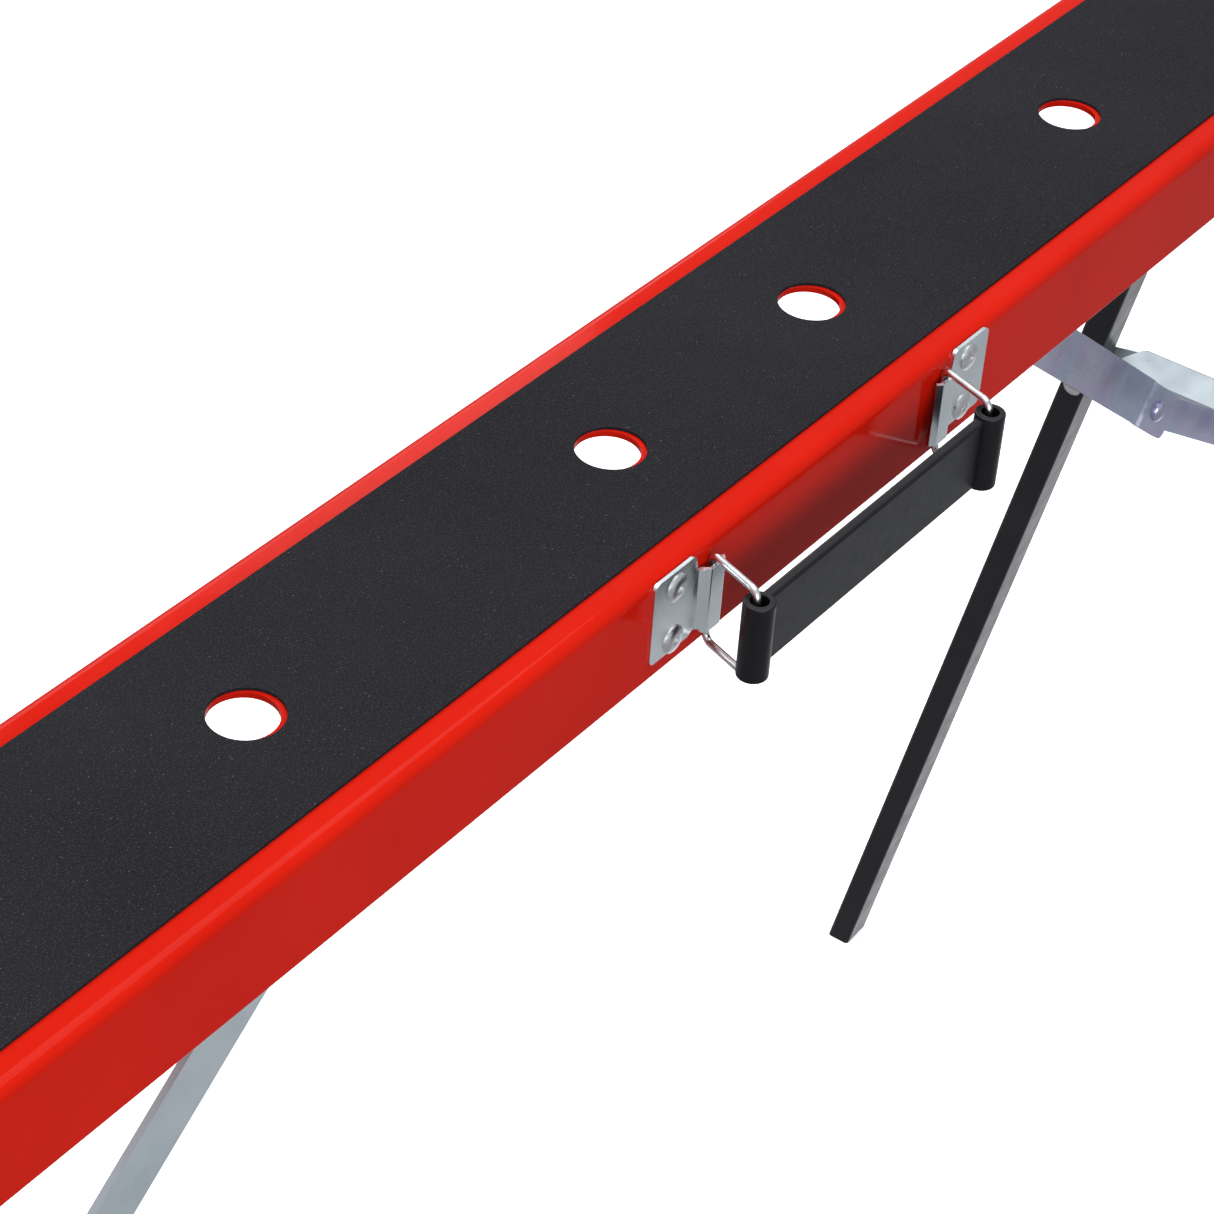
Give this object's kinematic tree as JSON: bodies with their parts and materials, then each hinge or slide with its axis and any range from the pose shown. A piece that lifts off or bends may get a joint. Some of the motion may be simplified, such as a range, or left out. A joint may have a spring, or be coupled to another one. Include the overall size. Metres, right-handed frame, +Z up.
{
  "type": "folding sawhorse",
  "caption": "Folding sawhorse with a narrow grip-topped steel beam, splayed tube legs held open by knee braces, round dog holes and a hinged side handle.",
  "frame": {"origin": "on the floor, under the middle of the beam", "axes": "+X along the beam to its right end, +Y away from the handle side, +Z up"},
  "size_m": [1.1788, 0.4768, 0.8],
  "materials": {
    "red_paint": "gloss red powder coat",
    "grip": "fine-grit black grip tape",
    "black_paint": "satin black paint",
    "zinc_plate": "bright zinc plate with a faint blue and violet sheen",
    "wire": "bright zinc-plated wire",
    "rivet_alloy": "drawn aluminium",
    "black_plastic": "satin moulded black"
  },
  "bodies": {
    "beam": {"beam_channel": "red_paint", "grip_strip": "grip", "handle_rivets": "rivet_alloy", "hinge_bracket_left": "zinc_plate", "leg_axle_left": "zinc_plate", "brace_bracket_left": "zinc_plate", "brace_pin_left": "zinc_plate", "handle_bracket_left": "zinc_plate", "hinge_bracket_right": "zinc_plate", "leg_axle_right": "zinc_plate", "brace_bracket_right": "zinc_plate", "brace_pin_right": "zinc_plate", "handle_bracket_right": "zinc_plate"},
    "leg_frame_left": {"leg_front_left": "black_paint", "leg_rear_left": "black_paint", "foot_plug_front_left": "black_plastic", "foot_plug_rear_left": "black_plastic", "cross_bar_left": "zinc_plate", "cross_bar_rivets_left": "zinc_plate", "brace_lug_left": "zinc_plate", "lug_pin_left": "zinc_plate"},
    "upper_brace_left": {"upper_link_left": "zinc_plate", "knee_rivet_front_left": "zinc_plate"},
    "lower_brace_left": {"lower_link_left": "zinc_plate", "knee_rivet_back_left": "zinc_plate"},
    "handle_wire_left": {"wire_link_left": "wire"},
    "leg_frame_right": {"leg_front_right": "black_paint", "leg_rear_right": "black_paint", "foot_plug_front_right": "black_plastic", "foot_plug_rear_right": "black_plastic", "cross_bar_right": "zinc_plate", "cross_bar_rivets_right": "zinc_plate", "brace_lug_right": "zinc_plate", "lug_pin_right": "zinc_plate"},
    "upper_brace_right": {"upper_link_right": "zinc_plate", "knee_rivet_front_right": "zinc_plate"},
    "lower_brace_right": {"lower_link_right": "zinc_plate", "knee_rivet_back_right": "zinc_plate"},
    "handle_wire_right": {"wire_link_right": "wire"},
    "handle_grip": {"handle_strap": "black_plastic"}
  },
  "joints": [
    {"name": "leg_frame_left_fold", "type": "hinge", "parent": "beam", "child": "leg_frame_left", "pos_m": [-0.475, 0, 0.748], "axis": [0, -1, 0], "range_deg": [0, 90]},
    {"name": "upper_brace_left_turn", "type": "hinge", "parent": "beam", "child": "upper_brace_left", "pos_m": [-0.1233, 0, 0.784], "axis": [0, -1, 0], "range_deg": [-27.4, 0]},
    {"name": "lower_brace_left_turn", "type": "hinge", "parent": "leg_frame_left", "child": "lower_brace_left", "pos_m": [-0.49142, 0, 0.51276], "axis": [0, -1, 0], "range_deg": [0, 57.5]},
    {"name": "leg_frame_right_fold", "type": "hinge", "parent": "beam", "child": "leg_frame_right", "pos_m": [0.475, 0, 0.748], "axis": [0, 1, 0], "range_deg": [0, 93.5]},
    {"name": "upper_brace_right_turn", "type": "hinge", "parent": "beam", "child": "upper_brace_right", "pos_m": [0.1233, 0, 0.784], "axis": [0, 1, 0], "range_deg": [-23.4, 0]},
    {"name": "lower_brace_right_turn", "type": "hinge", "parent": "leg_frame_right", "child": "lower_brace_right", "pos_m": [0.49142, 0, 0.51276], "axis": [0, 1, 0], "range_deg": [0, 65.8]},
    {"name": "handle_wire_left_swing", "type": "hinge", "parent": "beam", "child": "handle_wire_left", "pos_m": [-0.072, -0.0516, 0.7778], "axis": [0, 0, 1], "range_deg": [-52, 88]},
    {"name": "handle_wire_right_swing", "type": "hinge", "parent": "beam", "child": "handle_wire_right", "pos_m": [0.0595, -0.0516, 0.7778], "axis": [0, 0, 1], "range_deg": [-52, 88]},
    {"name": "handle_grip_turn", "type": "hinge", "parent": "handle_wire_left", "child": "handle_grip", "pos_m": [-0.07889, -0.07281, 0.7778], "axis": [0, 0, 1], "range_deg": [-88, 52]}
  ],
  "couplings": [
    {"joint": "upper_brace_left_turn", "follows": "leg_frame_left_fold", "ratio": -0.3035},
    {"joint": "lower_brace_left_turn", "follows": "leg_frame_left_fold", "ratio": 0.6381},
    {"joint": "upper_brace_right_turn", "follows": "leg_frame_right_fold", "ratio": -0.249},
    {"joint": "lower_brace_right_turn", "follows": "leg_frame_right_fold", "ratio": 0.7028},
    {"joint": "handle_wire_right_swing", "follows": "handle_wire_left_swing", "ratio": 1},
    {"joint": "handle_grip_turn", "follows": "handle_wire_left_swing", "ratio": -1}
  ]
}
